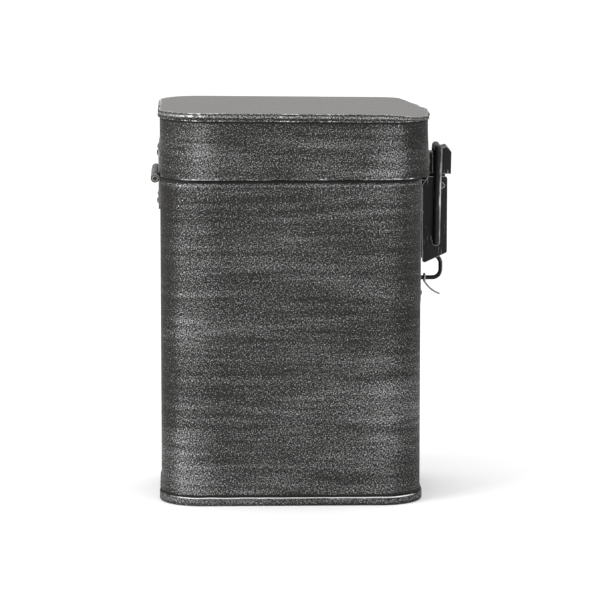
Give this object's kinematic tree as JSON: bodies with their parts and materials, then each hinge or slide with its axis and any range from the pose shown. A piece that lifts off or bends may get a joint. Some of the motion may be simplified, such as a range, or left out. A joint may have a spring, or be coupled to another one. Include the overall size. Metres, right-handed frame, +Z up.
{
  "type": "metal storage box",
  "caption": "Upright rounded sheet-metal storage box with a hinged lid, a wire-bail toggle latch and a padlock staple.",
  "frame": {"origin": "middle of the box's underside, under the middle of the body wall", "axes": "+Z up, -X towards the hinge, +X towards the latch, -Y towards the viewer of the picture"},
  "size_m": [0.1511, 0.0952, 0.1972],
  "materials": {
    "box_sheet": "dark grey paint, rubbed back to bright metal in fine horizontal and vertical scratches",
    "hinge_metal": "worn steel",
    "rivet_metal": "worn dark steel",
    "latch_metal": "black paint, bright along the edges",
    "bright_wire": "bare pale wire"
  },
  "bodies": {
    "box": {"body_wall": "box_sheet", "base_cap": "box_sheet", "mouth_collar": "box_sheet", "body_hinge_leaf": "hinge_metal", "body_hinge_rivets": "rivet_metal", "hinge_pin": "hinge_metal", "latch_base": "latch_metal", "latch_rivets": "rivet_metal", "lever_pin": "rivet_metal", "padlock_staple": "latch_metal", "keeper_wire": "bright_wire"},
    "lid": {"lid_skirt": "box_sheet", "lid_top": "box_sheet", "lid_hinge_leaf": "hinge_metal", "lid_hinge_rivets": "rivet_metal", "catch_plate": "latch_metal", "catch_rivets": "rivet_metal"},
    "lever": {"latch_lever": "latch_metal"},
    "bail": {"bail": "latch_metal", "bail_tab": "latch_metal"}
  },
  "joints": [
    {"name": "lid_hinge", "type": "hinge", "parent": "box", "child": "lid", "pos_m": [-0.0675, 0, 0.1621], "axis": [0, -1, 0], "range_deg": [0, 180]},
    {"name": "lever_pivot", "type": "hinge", "parent": "box", "child": "lever", "pos_m": [0.0764, 0, 0.1563], "axis": [0, -1, 0], "range_deg": [0, 135]},
    {"name": "bail_pivot", "type": "hinge", "parent": "lever", "child": "bail", "pos_m": [0.0736, 0, 0.1278], "axis": [0, 1, 0], "range_deg": [0, 297]}
  ],
  "couplings": [
    {"joint": "bail_pivot", "follows": "lever_pivot", "ratio": 2.2}
  ]
}
